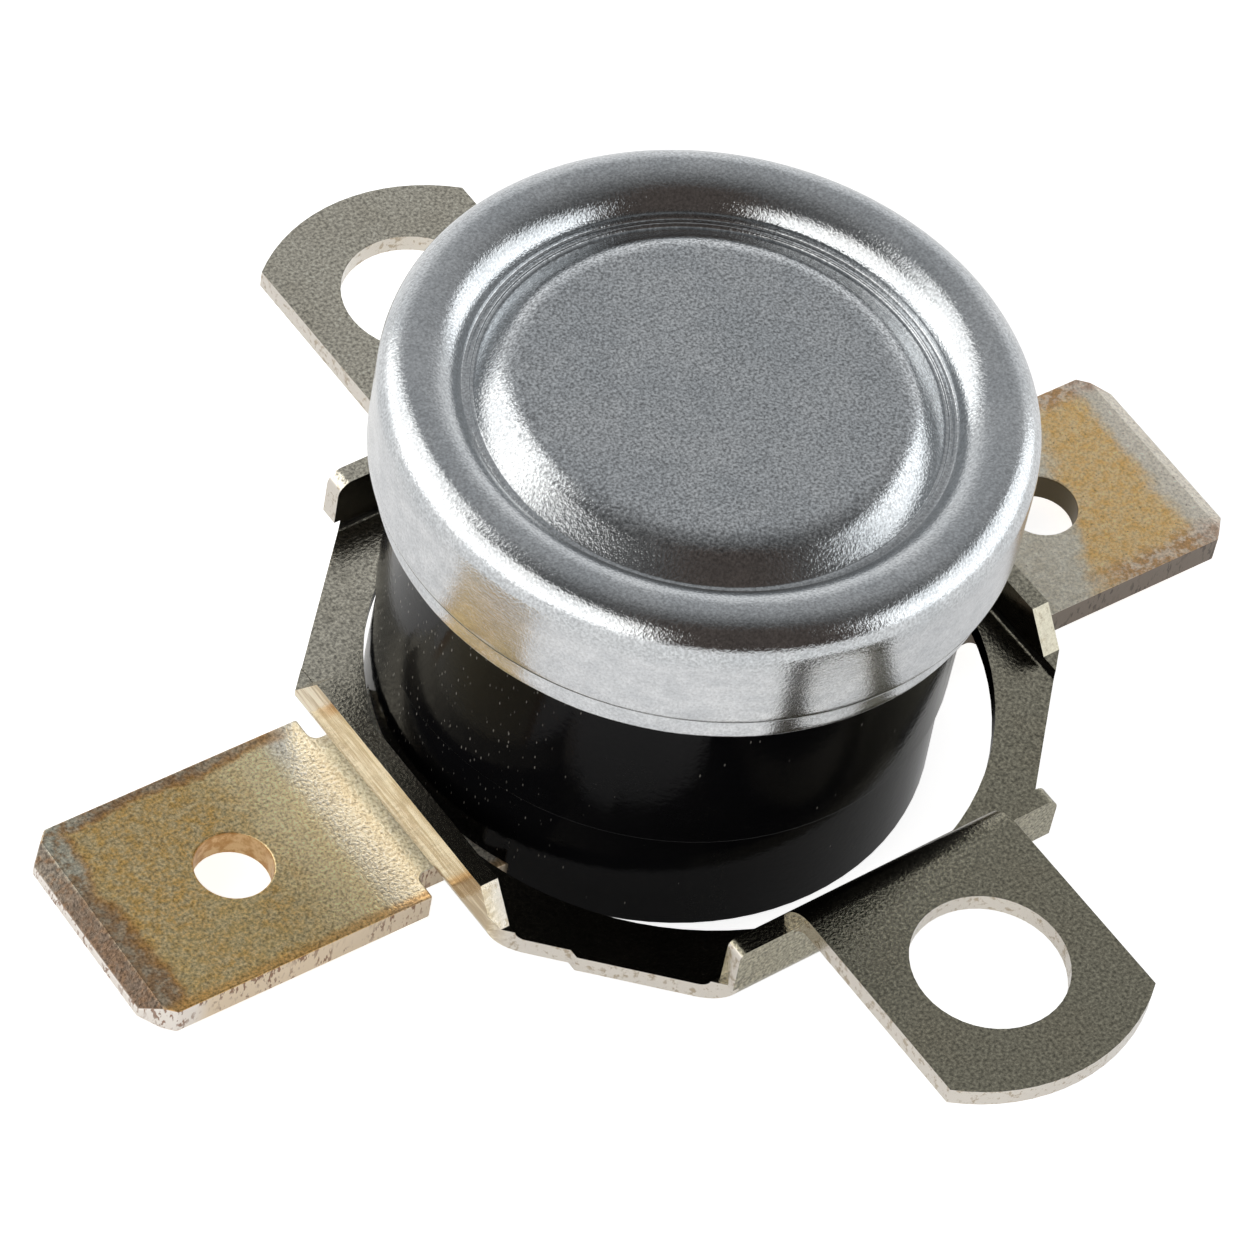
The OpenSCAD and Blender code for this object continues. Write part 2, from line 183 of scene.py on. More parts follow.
def new_material(name, metallic, roughness):
    """Material with its graph, its shader's inputs, and the object's own coordinates.

    The two numbers hold where no texture is linked to their sockets.
    """
    material = bpy.data.materials.new(name)
    material.use_nodes = True
    graph = Graph(material.node_tree)
    sockets = material.node_tree.nodes["Principled BSDF"].inputs
    sockets["Metallic"].default_value = metallic
    sockets["Roughness"].default_value = roughness
    coordinate = graph.node("ShaderNodeTexCoord")
    return material, graph, sockets, coordinate.outputs


def flat_share(g, at):
    """1 on faces that look up or down, lead-in bevels too, and 0 on upright faces."""
    upward = g.split(at["Normal"])[2]
    return g.step(g.math("ABSOLUTE", upward), 0.45, 0.75)


def centre_distance(g, along, aside, x, y):
    """Distance from an upright line at x and y, in metres."""
    a = g.minus(along, x)
    b = g.minus(aside, y)
    return g.math("SQRT", g.add(g.times(a, a), g.times(b, b)))


# Share of the noise's range that the grains use
GRAIN_LOW = 0.3
GRAIN_HIGH = 0.7


def speckled(g, grain, tone, share, dark, bright):
    """Colour with dark and bright grains, as factors of the tone."""
    made = g.node("ShaderNodeMapRange", {"Value": grain, "From Min": GRAIN_LOW, "From Max": GRAIN_HIGH,
                                         "To Min": dark, "To Max": bright})
    factor = made.outputs["Result"]
    grey = g.node("ShaderNodeCombineColor", {0: factor, 1: factor, 2: factor}).outputs[0]
    return g.mix(share, tone, grey, "MULTIPLY")


# Cap: heights and radii between which the top and the face begin, tones, grain and relief
TOP_FROM = 11.0 * MM
TOP_FULL = 11.6 * MM
FACE_FROM = 5.6 * MM
FACE_FULL = 4.8 * MM
CAP_GRAIN = 0.07 * MM
CAP_RELIEF = 0.009 * MM
ALUMINIUM_DIM = rgb(0.58, 0.6, 0.615)
ALUMINIUM_BRIGHT = rgb(0.65, 0.665, 0.675)
SKIRT_DIM = rgb(0.6, 0.615, 0.63)
SKIRT_BRIGHT = rgb(0.74, 0.75, 0.76)


def cap_material():
    """Drawn aluminium: sparkling grain on top, fine rings of brushing on the skirt."""
    material, g, sockets, at = new_material("cap_look", 1.0, 0.15)
    place = at["Object"]
    along, aside, height = g.split(place)
    on_top = g.step(height, TOP_FROM, TOP_FULL)
    radius = centre_distance(g, along, aside, 0.0, 0.0)
    on_face = g.step(radius, FACE_FROM, FACE_FULL)
    grain = g.noise(place, CAP_GRAIN, 2.0, 0.65)
    brushed = g.noise(g.stretch(place, (0.12, 0.12, 1.0)), 0.05 * MM, 2.0, 0.6)
    broad = g.noise(place, 1.3 * MM, 3.0, 0.55)
    tone = g.mix(g.step(broad, 0.3, 0.7), ALUMINIUM_DIM, ALUMINIUM_BRIGHT)
    patch = g.noise(g.stretch(place, (1.0, 1.0, 1.8)), 0.7 * MM, 4.0, 0.6)
    skirt = g.mix(g.step(patch, 0.25, 0.75), SKIRT_DIM, SKIRT_BRIGHT)
    tone = g.mix(on_top, skirt, tone)
    # Full grain on the face, nearly half of it on the bead, a quarter on the skirt
    grained = g.larger(g.span(on_top, 0.25, 0.45), on_face)
    g.set(sockets["Base Color"], speckled(g, grain, tone, grained, 0.4, 1.6))
    g.set(sockets["Roughness"], g.add(g.span(broad, 0.06, 0.1), g.span(on_top, 0.1, 0.0)))
    sparkle = g.times(grain, g.span(on_top, 0.4, 1.0))
    rings = g.times(brushed, g.span(on_top, 0.3, 0.0))
    g.set(sockets["Normal"], g.bump(g.add(sparkle, rings), CAP_RELIEF))
    return material


# Housing: tones, and the speckled side by the left tab
HOUSING_SPECULAR = 0.045
HOUSING_RELIEF = 0.0025 * MM
SCRATCH_SIZE = 0.11 * MM
WORN_FULL = 5.0 * MM
PHENOLIC_DIM = rgb(0.002, 0.002, 0.0025)
PHENOLIC_BRIGHT = rgb(0.005, 0.005, 0.0055)
PALE_SPECK = rgb(0.42, 0.40, 0.36)


def housing_material():
    """Black moulded phenolic with half gloss, and small slanting scratches on the side by the left tab."""
    material, g, sockets, at = new_material("housing_look", 0.0, 0.3)
    sockets["Specular IOR Level"].default_value = HOUSING_SPECULAR
    place = at["Object"]
    cloud = g.noise(place, 1.2 * MM, 3.0, 0.6)
    slant = g.stretch(place, (1.0, 1.0, 0.35), (math.radians(25), 0, math.radians(30)))
    cells = g.node("ShaderNodeTexVoronoi", {"Vector": slant, "Scale": 1 / SCRATCH_SIZE})
    near = g.step(cells.outputs["Distance"], 0.22, 0.1)
    chosen = g.node("ShaderNodeSeparateColor", {"Color": cells.outputs["Color"]}).outputs[0]
    along, aside, _ = g.split(place)
    # Pale slanting specks, more of them towards the left tab
    toward_left_tab = g.step(g.minus(aside, along), 0.0, WORN_FULL)
    few = g.math("GREATER_THAN", chosen, g.span(toward_left_tab, 0.96, 0.3))
    speck = g.times(near, few, g.step(cloud, 0.35, 0.6))
    tone = g.mix(cloud, PHENOLIC_DIM, PHENOLIC_BRIGHT)
    g.set(sockets["Base Color"], g.mix(g.times(speck, 0.4), tone, PALE_SPECK))
    g.set(sockets["Roughness"], g.span(cloud, 0.08, 0.15))
    g.set(sockets["Normal"], g.bump(g.noise(place, 0.16 * MM, 2.0, 0.5), HOUSING_RELIEF))
    return material


# Bracket: its middle, the places of its walls, and its tones
BRACKET_X = 0.4 * MM
BRACKET_Y = -0.6 * MM
OPENING_FROM = 7.95 * MM
OPENING_FULL = 7.9 * MM
EAR_WALL_FROM = 8.9 * MM
EAR_WALL_FULL = 8.8 * MM
LEFT_WALL_FROM = -7.7 * MM
LEFT_WALL_FULL = -8.3 * MM
RIGHT_WALL_FROM = 8.2 * MM
RIGHT_WALL_FULL = 8.4 * MM
SHEET_GRAIN = 0.085 * MM
BRACKET_RELIEF = 0.009 * MM
NICKEL_NEAR_PAINTED_SHADE = rgb(0.375, 0.35, 0.265)
NICKEL_FAR_PAINTED_LIGHT = rgb(0.76, 0.71, 0.59)
NICKEL_STAIN = rgb(0.36, 0.31, 0.22)
EDGE_BRIGHT = rgb(0.74, 0.69, 0.62)
EDGE_SPOT = rgb(0.38, 0.29, 0.18)
OPENING_PAINTED_SHADE = rgb(0.004, 0.004, 0.004)
LEFT_WALL_REFLECTION_DIM = rgb(0.6, 0.48, 0.31)
LEFT_WALL_REFLECTION_BRIGHT = rgb(0.88, 0.78, 0.6)
OLIVE = rgb(0.42, 0.39, 0.31)
OLIVE_SPOT = rgb(0.16, 0.12, 0.07)


def nickel_material():
    """Nickel-plated sheet: fine sparkling grain on the flats, painted shade on the near half and painted
    light on the far half, smooth bright edges with brown spots, the wall of the ring's opening painted dark
    as shade, and a painted reflection of the left tab on the wall by it.
    """
    material, g, sockets, at = new_material("bracket_look", 1.0, 0.2)
    place = at["Object"]
    along, aside, _ = g.split(place)
    # The ear walls' faces are plated as the flats are
    across = g.math("ABSOLUTE", g.split(at["Normal"])[1])
    reach = g.math("ABSOLUTE", g.minus(aside, BRACKET_Y))
    plated = g.times(g.step(across, 0.8, 0.9), g.step(reach, EAR_WALL_FROM, EAR_WALL_FULL))
    flat = g.larger(flat_share(g, at), plated)
    grain = g.noise(place, SHEET_GRAIN, 2.0, 0.65)
    broad = g.noise(place, 1.6 * MM, 3.0, 0.6)
    # Painted shade on the near half of the sheet and painted light on the far half, across the bracket from
    # front to back
    tone = g.mix(g.step(aside, -9 * MM, 9 * MM), NICKEL_NEAR_PAINTED_SHADE, NICKEL_FAR_PAINTED_LIGHT)
    tone = g.mix(g.times(g.step(broad, 0.4, 0.7), 0.2), tone, NICKEL_STAIN)
    tone = speckled(g, grain, tone, flat, 0.4, 1.5)
    spots = g.times(g.step(g.noise(place, 0.2 * MM, 3.0, 0.7), 0.52, 0.66), 0.7)
    edge = g.mix(spots, EDGE_BRIGHT, EDGE_SPOT)
    # Painted shade: the wall of the ring's opening is painted near black, with a black specular tint, so it
    # is dark at any angle
    middle = centre_distance(g, along, aside, BRACKET_X, BRACKET_Y)
    in_hole = g.step(middle, OPENING_FROM, OPENING_FULL)
    edge = g.mix(in_hole, edge, OPENING_PAINTED_SHADE)
    shaded = g.times(in_hole, g.minus(1.0, flat))
    g.set(sockets["Specular Tint"], g.mix(shaded, WHITE, BLACK))
    # Painted reflection of the golden left tab, in streaks on the wall by it, and olive ends on the wall by
    # the right tab
    streak = g.noise(g.stretch(place, (1.0, 0.08, 1.0)), 0.14 * MM, 3.0, 0.6)
    golden = g.mix(g.step(streak, 0.42, 0.62), LEFT_WALL_REFLECTION_DIM, LEFT_WALL_REFLECTION_BRIGHT)
    edge = g.mix(g.step(along, LEFT_WALL_FROM, LEFT_WALL_FULL), edge, golden)
    olive = g.mix(spots, OLIVE, OLIVE_SPOT)
    edge = g.mix(g.step(along, RIGHT_WALL_FROM, RIGHT_WALL_FULL), edge, olive)
    g.set(sockets["Base Color"], g.mix(flat, edge, tone))
    g.set(sockets["Roughness"], g.span(broad, 0.13, 0.2))
    g.set(sockets["Normal"], g.bump(g.times(grain, g.span(flat, 0.15, 1.0)), BRACKET_RELIEF))
    return material


# Both tabs: the hole's place, and the radii between which its wall begins
TAB_HOLE_X = 12.16 * MM
TAB_HOLE_FROM = 1.12 * MM
TAB_HOLE_FULL = 1.04 * MM


def cut_edge(g, place, clean, marked):
    """Sheared edge with slanting marks in a second colour."""
    slant = g.stretch(place, (1.0, 1.0, 0.35), (math.radians(35), math.radians(35), 0))
    marks = g.step(g.noise(slant, 0.1 * MM, 2.0, 0.6), 0.53, 0.60)
    patchy = g.step(g.noise(place, 0.8 * MM, 2.0, 0.6), 0.36, 0.6)
    return g.mix(g.times(marks, patchy, 0.9), clean, marked)


def tab_hole(g, along, aside, x):
    """1 on the wall of a tab's hole."""
    return g.step(centre_distance(g, along, aside, x, 0.0), TAB_HOLE_FROM, TAB_HOLE_FULL)


def tab_noises(g, place, sway_reach):
    """Grain, broad clouds, fine mottles, and the sway of the stains' bounds, which is in metres."""
    grain = g.noise(place, SHEET_GRAIN, 2.0, 0.65)
    broad = g.noise(place, 1.4 * MM, 4.0, 0.65)
    fine = g.noise(place, 0.3 * MM, 4.0, 0.7)
    sway = g.times(g.minus(broad, 0.5), sway_reach)
    return grain, broad, fine, sway


# Left tab: relief and tones
LEFT_RELIEF = 0.015 * MM
LEFT_GOLD_DIM = rgb(0.72, 0.46, 0.155)
LEFT_GOLD_BRIGHT = rgb(0.71, 0.56, 0.31)
LEFT_OLIVE = rgb(0.66, 0.54, 0.28)
NECK_PAINTED_LIGHT = rgb(1.0, 0.84, 0.52)
STRIP_PAINTED_HIGHLIGHT = rgb(1.0, 0.94, 0.8)
FRINGE_ORANGE = rgb(0.62, 0.33, 0.09)
STAIN_DIM = rgb(0.28, 0.165, 0.12)
STAIN_BRIGHT = rgb(0.43, 0.35, 0.27)
CORNER_GREY = rgb(0.56, 0.57, 0.50)
FRONT_ORANGE = rgb(0.74, 0.42, 0.13)
BEVEL_BROWN = rgb(0.10, 0.065, 0.05)
LEFT_EDGE_TIP = rgb(0.92, 0.86, 0.79)
LEFT_EDGE_CREAM = rgb(0.86, 0.72, 0.54)
LEFT_EDGE_MARK = rgb(0.26, 0.13, 0.07)
COPPER_DIM = rgb(0.60, 0.34, 0.13)
COPPER_BRIGHT = rgb(0.84, 0.60, 0.32)


def left_tab_material():
    """Plated brass with an olive-gold tarnish, stained at the back edge and the tip, pale at the neck from
    painted light, with a painted highlight strip by the bracket's wall.
    """
    material, g, sockets, at = new_material("tab_left_look", 1.0, 0.36)
    place = at["Object"]
    along, aside, _ = g.split(place)
    flat = flat_share(g, at)
    grain, broad, fine, sway = tab_noises(g, place, 1.6 * MM)
    gold = g.mix(g.step(fine, 0.36, 0.64), LEFT_GOLD_DIM, LEFT_GOLD_BRIGHT)
    olive = g.step(g.noise(place, 2.2 * MM, 3.0, 0.6), 0.42, 0.62)
    tone = g.mix(g.times(olive, 0.5), gold, LEFT_OLIVE)
    # Painted light: a pale gold band at the neck and a smoother cream highlight strip by the bracket's
    # wall, where the tab shows the lit wall
    neck = g.step(g.add(along, sway), -11.9 * MM, -10.0 * MM)
    tone = g.mix(g.times(neck, 0.85), tone, NECK_PAINTED_LIGHT)
    strip = g.step(g.add(along, g.times(sway, 0.3)), -9.9 * MM, -9.2 * MM)
    tone = g.mix(strip, tone, STRIP_PAINTED_HIGHLIGHT)
    # Stain along the back edge and the tip, with an orange fringe
    back = g.step(g.add(aside, g.times(sway, 0.7)), 2.62 * MM, 2.95 * MM)
    tip = g.step(g.add(along, g.times(sway, 0.8)), -15.1 * MM, -15.6 * MM)
    stain = g.larger(g.times(back, g.step(along, -8.6 * MM, -10.5 * MM)), tip)
    fringe = g.times(stain, g.minus(1.0, stain), 3.6)
    tone = g.mix(fringe, tone, FRINGE_ORANGE)
    corner = g.times(g.step(along, -14.0 * MM, -15.4 * MM), g.step(aside, 0.4 * MM, 2.0 * MM))
    murky = g.mix(g.step(fine, 0.45, 0.58), STAIN_DIM, STAIN_BRIGHT)
    murky = g.mix(g.times(corner, g.step(fine, 0.35, 0.55)), murky, CORNER_GREY)
    tone = g.mix(g.times(stain, g.span(fine, 0.5, 1.0)), tone, murky)
    front = g.step(g.add(aside, g.times(sway, 0.25)), -2.7 * MM, -2.95 * MM)
    tone = g.mix(g.times(front, 0.7), tone, FRONT_ORANGE)
    bevel = g.step(along, -15.78 * MM, -15.92 * MM)
    tone = g.mix(g.times(bevel, g.span(fine, 0.5, 1.0)), tone, BEVEL_BROWN)
    tone = speckled(g, grain, tone, 1.0, 0.5, 1.5)
    # Sheared edges, and the copper wall of the hole
    cream = g.mix(g.step(along, -15.2 * MM, -14.6 * MM), LEFT_EDGE_TIP, LEFT_EDGE_CREAM)
    sheared = cut_edge(g, place, cream, LEFT_EDGE_MARK)
    copper = g.mix(g.step(fine, 0.4, 0.6), COPPER_DIM, COPPER_BRIGHT)
    edge = g.mix(tab_hole(g, along, aside, -TAB_HOLE_X), sheared, copper)
    g.set(sockets["Base Color"], g.mix(flat, edge, tone))
    # Less metal at the root, and at the neck with its painted light
    root = g.step(along, -8.6 * MM, -7.6 * MM)
    g.set(sockets["Metallic"], g.span(g.larger(root, g.times(neck, 0.45)), 0.85, 0.4))
    g.set(sockets["Roughness"], g.minus(g.span(broad, 0.26, 0.38), g.times(strip, 0.14)))
    g.set(sockets["Normal"], g.bump(g.times(grain, g.span(flat, 0.2, 1.0)), LEFT_RELIEF))
    return material


# Right tab: relief and tones
RIGHT_RELIEF = 0.012 * MM
RIGHT_PALE_DIM = rgb(0.74, 0.68, 0.55)
RIGHT_PALE_BRIGHT = rgb(0.88, 0.83, 0.70)
RIGHT_GOLD_DIM = rgb(0.93, 0.58, 0.2)
RIGHT_GOLD_BRIGHT = rgb(0.95, 0.72, 0.4)
RIGHT_TIP = rgb(0.93, 0.85, 0.73)
RIM_DIM = rgb(0.50, 0.27, 0.15)
RIM_BRIGHT = rgb(0.84, 0.70, 0.58)
DOT_BROWN = rgb(0.24, 0.15, 0.09)
RIGHT_EDGE = rgb(0.26, 0.21, 0.165)
RIGHT_EDGE_MARK = rgb(0.10, 0.07, 0.05)
RIGHT_HOLE = rgb(0.16, 0.12, 0.055)


def right_tab_material():
    """Paler plated brass: silvery inside, a golden patch towards the tip, brown mottles at the edges."""
    material, g, sockets, at = new_material("tab_right_look", 0.3, 0.42)
    place = at["Object"]
    along, aside, _ = g.split(place)
    flat = flat_share(g, at)
    grain, broad, fine, sway = tab_noises(g, place, 2.0 * MM)
    half_sway = g.times(sway, 0.5)
    pale = g.mix(g.step(fine, 0.36, 0.64), RIGHT_PALE_DIM, RIGHT_PALE_BRIGHT)
    bound = g.minus(g.add(along, sway), g.times(aside, 0.35))
    inner = g.step(bound, 12.5 * MM, 13.2 * MM)
    outer = g.step(g.add(along, half_sway), 15.5 * MM, 15.0 * MM)
    gold = g.mix(g.step(fine, 0.3, 0.7), RIGHT_GOLD_DIM, RIGHT_GOLD_BRIGHT)
    tone = g.mix(g.times(inner, outer), pale, gold)
    tip = g.step(g.add(along, sway), 14.9 * MM, 15.7 * MM)
    tone = g.mix(g.times(tip, g.span(fine, 0.4, 1.0)), tone, RIGHT_TIP)
    back = g.step(g.add(aside, half_sway), 2.3 * MM, 2.8 * MM)
    front = g.step(g.add(aside, half_sway), -2.2 * MM, -2.7 * MM)
    rim = g.times(g.larger(back, front), g.step(along, 11.5 * MM, 13.0 * MM))
    dusty = g.mix(g.step(fine, 0.44, 0.58), RIM_DIM, RIM_BRIGHT)
    tone = g.mix(g.times(rim, g.span(fine, 0.4, 1.0)), tone, dusty)
    dots = g.step(g.noise(place, 0.1 * MM, 2.0, 0.5), 0.66, 0.71)
    tone = g.mix(g.times(dots, 0.6), tone, DOT_BROWN)
    tone = speckled(g, grain, tone, 1.0, 0.74, 1.26)
    sheared = cut_edge(g, place, RIGHT_EDGE, RIGHT_EDGE_MARK)
    edge = g.mix(tab_hole(g, along, aside, TAB_HOLE_X), sheared, RIGHT_HOLE)
    g.set(sockets["Base Color"], g.mix(flat, edge, tone))
    g.set(sockets["Roughness"], g.span(broad, 0.32, 0.44))
    g.set(sockets["Normal"], g.bump(g.times(grain, g.span(flat, 0.2, 1.0)), RIGHT_RELIEF))
    return material


def plain_look(name, metallic, colour, roughness, cloud_size, dimmed):
    """Material of a small inner piece, with a soft change of tone."""
    material, g, sockets, at = new_material(name, metallic, roughness)
    broad = g.noise(at["Object"], cloud_size, 3.0, 0.6)
    dark = rgb(*(part * dimmed for part in colour))
    g.set(sockets["Base Color"], g.mix(g.step(broad, 0.3, 0.7), dark, rgb(*colour)))
    return material


def plain_metal(name, colour, roughness):
    """Metal of a small inner piece."""
    return plain_look(name, 1.0, colour, roughness, 0.6 * MM, 0.8)


def plain_moulding(name, colour, roughness):
    """Moulded or fired small inner piece."""
    return plain_look(name, 0.0, colour, roughness, 0.5 * MM, 0.75)


def new_piece(name, mesh, look):
    """Object of a finished mesh with one material."""
    mesh.materials.append(look)
    piece = bpy.data.objects.new(name, mesh)
    bpy.context.collection.objects.link(piece)
    return piece


# Rounded edges of the pieces that copy a CAD node
MERGE_WITHIN = 0.0005 * MM
FLAT_WITHIN = math.radians(0.4)
SMOOTH_BELOW = math.radians(28)
BEVEL_ABOVE = math.radians(40)
BEVEL_SEGMENTS = 3
HOUSING_BEVEL = 0.08 * MM
SHEET_BEVEL = 0.06 * MM


def softened(node, name, width, look):
    """Copy of a CAD node with rounded edges, which stands for that node."""
    mesh = bpy.data.meshes.new(name)
    cut = bmesh.new()
    cut.from_mesh(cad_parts[node].data)
    bmesh.ops.remove_doubles(cut, verts=cut.verts, dist=MERGE_WITHIN)
    bmesh.ops.dissolve_limit(cut, angle_limit=FLAT_WITHIN, verts=cut.verts, edges=cut.edges)
    for face in cut.faces:
        face.smooth = True
    for edge in cut.edges:
        edge.smooth = edge.calc_face_angle(0.0) < SMOOTH_BELOW
    cut.to_mesh(mesh)
    cut.free()
    piece = new_piece(name, mesh, look)
    bevel = piece.modifiers.new("edges", "BEVEL")
    bevel.width = width
    bevel.segments = BEVEL_SEGMENTS
    bevel.limit_method = "ANGLE"
    bevel.angle_limit = BEVEL_ABOVE
    bevel.harden_normals = True
    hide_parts(node)
    return piece


# Sizes of the drawn cap, in millimetres, as in the CAD model
CAP_R = 7.9
CAP_SHEET = 0.4
CREST_Z = 12.37
GROOVE_Z = 11.5
FACE_Z = 12.17
SHOULDER_R = 0.88
BEAD_ROUND = 1.24
GROOVE_OUTER_R = 5.93
LIP_Z = 8.52
# Finer forms of the cap that the CAD model leaves out, its softer flank among them; the tilt is in degrees
FACE_R = 4.28
FACE_ROUND = 1.3
FLANK_TILT = 36
LIP_ROUND = 0.08
LIP_INSIDE = 0.5
CREASE_Z = 9.22
COLLAR_R = 7.64
COLLAR_FLARE = 0.03
RIDGE_H = 0.08
CORNER_R = 0.07
# Faint ring in the groove's floor: place across the floor, and height as a share of RIDGE_H
RIDGE = ((0.02, 0.0), (0.035, 0.03), (0.05, 0.7), (0.065, 0.97), (0.09, 1.0), (0.17, 0.55), (0.19, 0.5))
RIDGE_END = 0.5
# Pressed crease above the lip: height above CREASE_Z, and share of the step from the skirt in to the collar
CREASE = ((0.3, 0.0), (0.2, 0.02), (0.12, 0.1), (0.06, 0.3), (0.0, 0.85), (-0.03, 1.0), (-0.07, 0.98))
CREASE_TOP = 0.3
# Waver of the crimp: depth, where it begins, and two waves round the lip with their phases in radians
WAVER = 0.006
WAVER_FROM = 0.1
WAVER_FADE = 0.2
FAST_WAVES = 17
FAST_PHASE = 0.6
SLOW_WAVES = 6
SLOW_PHASE = 1.0
CAP_TURNS = 360
# Points along each part of the profile
FACE_STEPS = 24
FACE_ROUND_STEPS = 14
FLANK_STEPS = 8
CORNER_STEPS = 5
BEAD_STEPS = 28
SHOULDER_STEPS = 24
SKIRT_STEPS = 6
COLLAR_STEPS = 4
LIP_STEPS = 6


def arc_points(x, z, radius, start, end, count):
    """Points of an arc in the profile's plane, angles in degrees."""
    angles = [math.radians(start + (end - start) * i / count) for i in range(count + 1)]
    return [(x + radius * math.cos(a), z + radius * math.sin(a)) for a in angles]


def straight(start, end, count):
    """Points between two points of the profile, without either end."""
    shares = [i / (count + 1) for i in range(1, count + 1)]
    return [(start[0] + (end[0] - start[0]) * k, start[1] + (end[1] - start[1]) * k) for k in shares]


def cap_profile():
    """Outer line of the cap from its axis to the lip, and back up inside the lip."""
    tilt = math.radians(FLANK_TILT)
    crest_x = CAP_R - SHOULDER_R
    wall_turn = math.degrees(math.acos((GROOVE_OUTER_R - crest_x) / BEAD_ROUND))
    # Face, its rounding, and the flank down to the groove
    line = [(FACE_R * i / FACE_STEPS, FACE_Z) for i in range(FACE_STEPS)]
    line += arc_points(FACE_R, FACE_Z - FACE_ROUND, FACE_ROUND, 90, 90 - FLANK_TILT, FACE_ROUND_STEPS)
    top_x, top_z = line[-1]
    foot_x = top_x + (top_z - GROOVE_Z) / math.tan(tilt)
    corner_x = foot_x + CORNER_R * math.tan(tilt / 2)
    corner = arc_points(corner_x, GROOVE_Z + CORNER_R, CORNER_R, 270 - FLANK_TILT, 270, CORNER_STEPS)
    line += straight(line[-1], corner[0], FLANK_STEPS) + corner
    # Groove's floor with its ring, bead and shoulder
    line += [(corner_x + x, GROOVE_Z + RIDGE_H * h) for x, h in RIDGE]
    low_z = GROOVE_Z + RIDGE_END * RIDGE_H
    line += arc_points(GROOVE_OUTER_R - CORNER_R, low_z + CORNER_R, CORNER_R, -90, -5, CORNER_STEPS)
    line += arc_points(crest_x, CREST_Z - BEAD_ROUND, BEAD_ROUND, wall_turn, 90, BEAD_STEPS)
    line += arc_points(crest_x, CREST_Z - SHOULDER_R, SHOULDER_R, 86, 0, SHOULDER_STEPS)
    # Skirt, crease, collar and the lip's rounded edge
    line += straight(line[-1], (CAP_R, CREASE_Z + CREASE_TOP), SKIRT_STEPS)
    inset = CAP_R - COLLAR_R
    line += [(CAP_R - inset * inward, CREASE_Z + rise) for rise, inward in CREASE]
    lip_r = COLLAR_R + COLLAR_FLARE
    line += straight(line[-1], (lip_r, LIP_Z + LIP_ROUND), COLLAR_STEPS)
    line += arc_points(lip_r - LIP_ROUND, LIP_Z + LIP_ROUND, LIP_ROUND, 0, -90, LIP_STEPS)
    line += [(lip_r - CAP_SHEET, LIP_Z), (lip_r - CAP_SHEET, LIP_Z + LIP_INSIDE)]
    return line


def turned_cap(look):
    """Cap turned from its profile, with a crimp that wavers a little round the lip."""
    cut = bmesh.new()
    rings = []
    for radius, height in cap_profile():
        pressed = max(0.0, min(1.0, (CREASE_Z + WAVER_FROM - height) / WAVER_FADE))
        ring = []
        for i in range(CAP_TURNS if radius > 0 else 1):
            a = 2 * math.pi * i / CAP_TURNS
            wave = math.sin(FAST_WAVES * a + FAST_PHASE) * math.sin(SLOW_WAVES * a + SLOW_PHASE)
            reach = (radius - WAVER * pressed * (1 + wave)) * MM
            ring.append(cut.verts.new((reach * math.cos(a), reach * math.sin(a), height * MM)))
        rings.append(ring)
    for upper, lower in zip(rings, rings[1:]):
        for i in range(CAP_TURNS):
            j = (i + 1) % CAP_TURNS
            if len(upper) == 1:
                cut.faces.new((upper[0], lower[i], lower[j]))
            else:
                cut.faces.new((upper[i], lower[i], lower[j], upper[j]))
    for face in cut.faces:
        face.smooth = True
    mesh = bpy.data.meshes.new("cap_shell")
    cut.to_mesh(mesh)
    cut.free()
    piece = new_piece("cap_shell", mesh, look)
    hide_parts("sensing_cap")
    return piece


def put(piece, body):
    """Rides a piece on a body."""
    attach(piece, body)


LAMP_DISTANCE = 0.25
WARM_WHITE = (1.0, 0.99, 0.97)
COOL_WHITE = (0.95, 0.98, 1.0)


def area_lamp(name, azimuth, high, half_width, radiance, colour):
    """Soft box that stands on the floor and faces the object from an azimuth, angles in degrees."""
    data = bpy.data.lights.new(name, "AREA")
    data.shape = "RECTANGLE"
    data.size = 2 * LAMP_DISTANCE * math.tan(math.radians(half_width))
    data.size_y = LAMP_DISTANCE * math.tan(math.radians(high))
    data.energy = radiance * math.pi * data.size * data.size_y
    data.color = colour
    lamp = bpy.data.objects.new(name, data)
    a = math.radians(azimuth)
    lamp.location = (LAMP_DISTANCE * math.cos(a), LAMP_DISTANCE * math.sin(a), data.size_y / 2)
    lamp.rotation_euler = (math.pi / 2, 0, a + math.pi / 2)
    lamp.visible_camera = False
    bpy.context.collection.objects.link(lamp)


# Room: azimuths of its pale back and its dark front in degrees, and its tones
BACK_AZIMUTH = 65
FRONT_AZIMUTH = 256
CEILING_FRONT = rgb(0.12, 0.12, 0.12)
CEILING_BACK = rgb(0.395, 0.405, 0.415)
HORIZON = rgb(0.8, 0.81, 0.82)
FRONT_DARK = rgb(0.085, 0.071, 0.064)


def level_way(azimuth):
    """Level direction at an azimuth in degrees."""
    return (math.cos(math.radians(azimuth)), math.sin(math.radians(azimuth)), 0)


